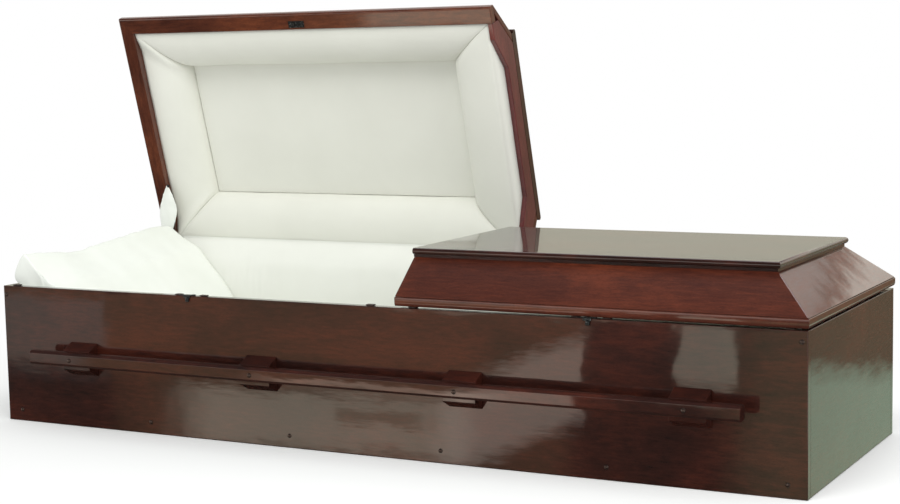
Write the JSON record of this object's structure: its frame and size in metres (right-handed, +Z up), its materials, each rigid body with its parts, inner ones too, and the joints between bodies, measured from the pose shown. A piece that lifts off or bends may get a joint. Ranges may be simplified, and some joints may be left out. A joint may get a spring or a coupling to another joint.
{
  "type": "wooden coffin",
  "caption": "Long lacquered wooden coffin with a lined inside, a hip roofed head lid hinged open, a shut foot lid and a carrying bar along each side.",
  "frame": {"origin": "middle of the underside, where the coffin stands", "axes": "+X to the foot end, +Y to the hinged back, +Z up"},
  "size_m": [2.036, 0.8208, 0.9951],
  "materials": {
    "lacquer": "dark red brown mahogany stain under high gloss lacquer",
    "lacquer_dark": "dark stained board, satin",
    "white_cloth": "off white crepe, matte",
    "lining_cloth": "cream crepe over padding, matte",
    "steel": "dark bronzed steel",
    "rubber": "black, matte"
  },
  "bodies": {
    "casket": {"side_front": "lacquer", "side_back": "lacquer", "end_head": "lacquer", "end_foot": "lacquer", "floor_board": "lacquer_dark", "bar_front": "lacquer", "bracket_front_1": "lacquer", "bracket_front_2": "lacquer", "bracket_front_3": "lacquer", "bracket_front_4": "lacquer", "bar_back": "lacquer", "bracket_back_1": "lacquer", "bracket_back_2": "lacquer", "bracket_back_3": "lacquer", "bracket_back_4": "lacquer", "body_hinge_leaf_head_lid_1": "steel", "body_hinge_leaf_head_lid_2": "steel", "body_hinge_leaf_foot_lid_1": "steel", "body_hinge_leaf_foot_lid_2": "steel", "latch_head": "steel", "latch_foot": "steel", "rim_pad_1": "rubber", "rim_pad_2": "rubber", "rim_pad_3": "rubber", "rim_pad_4": "rubber", "body_lining": "white_cloth", "mattress": "white_cloth", "pillow": "white_cloth", "lid_stay": "white_cloth", "hinge_apron": "white_cloth"},
    "head_lid": {"head_lid_band_front": "lacquer", "head_lid_band_back": "lacquer", "head_lid_band_end": "lacquer", "head_lid_hip_front": "lacquer", "head_lid_hip_back": "lacquer", "head_lid_hip_end": "lacquer", "head_lid_top": "lacquer", "head_lid_header": "lacquer", "head_lid_roll_front": "lining_cloth", "head_lid_roll_back": "lining_cloth", "head_lid_roll_end": "lining_cloth", "head_lid_roll_header": "lining_cloth", "head_lid_lining_panel": "lining_cloth", "head_lid_hinge_leaf_1": "steel", "head_lid_hinge_leaf_2": "steel"},
    "foot_lid": {"foot_lid_band_front": "lacquer", "foot_lid_band_back": "lacquer", "foot_lid_band_end": "lacquer", "foot_lid_hip_front": "lacquer", "foot_lid_hip_back": "lacquer", "foot_lid_hip_end": "lacquer", "foot_lid_top": "lacquer", "foot_lid_header": "lacquer", "foot_lid_roll_front": "lining_cloth", "foot_lid_roll_back": "lining_cloth", "foot_lid_roll_end": "lining_cloth", "foot_lid_roll_header": "lining_cloth", "foot_lid_lining_panel": "lining_cloth", "foot_lid_hinge_leaf_1": "steel", "foot_lid_hinge_leaf_2": "steel"}
  },
  "joints": [
    {"name": "head_lid_hinge", "type": "hinge", "parent": "casket", "child": "head_lid", "pos_m": [0, 0.3405, 0.339], "axis": [1, 0, 0], "range_deg": [0, 74.35], "deforming": ["pillow", "lid_stay", "hinge_apron"]},
    {"name": "foot_lid_hinge", "type": "hinge", "parent": "casket", "child": "foot_lid", "pos_m": [0, 0.3405, 0.339], "axis": [-1, 0, 0], "range_deg": [0, 74.35]}
  ]
}
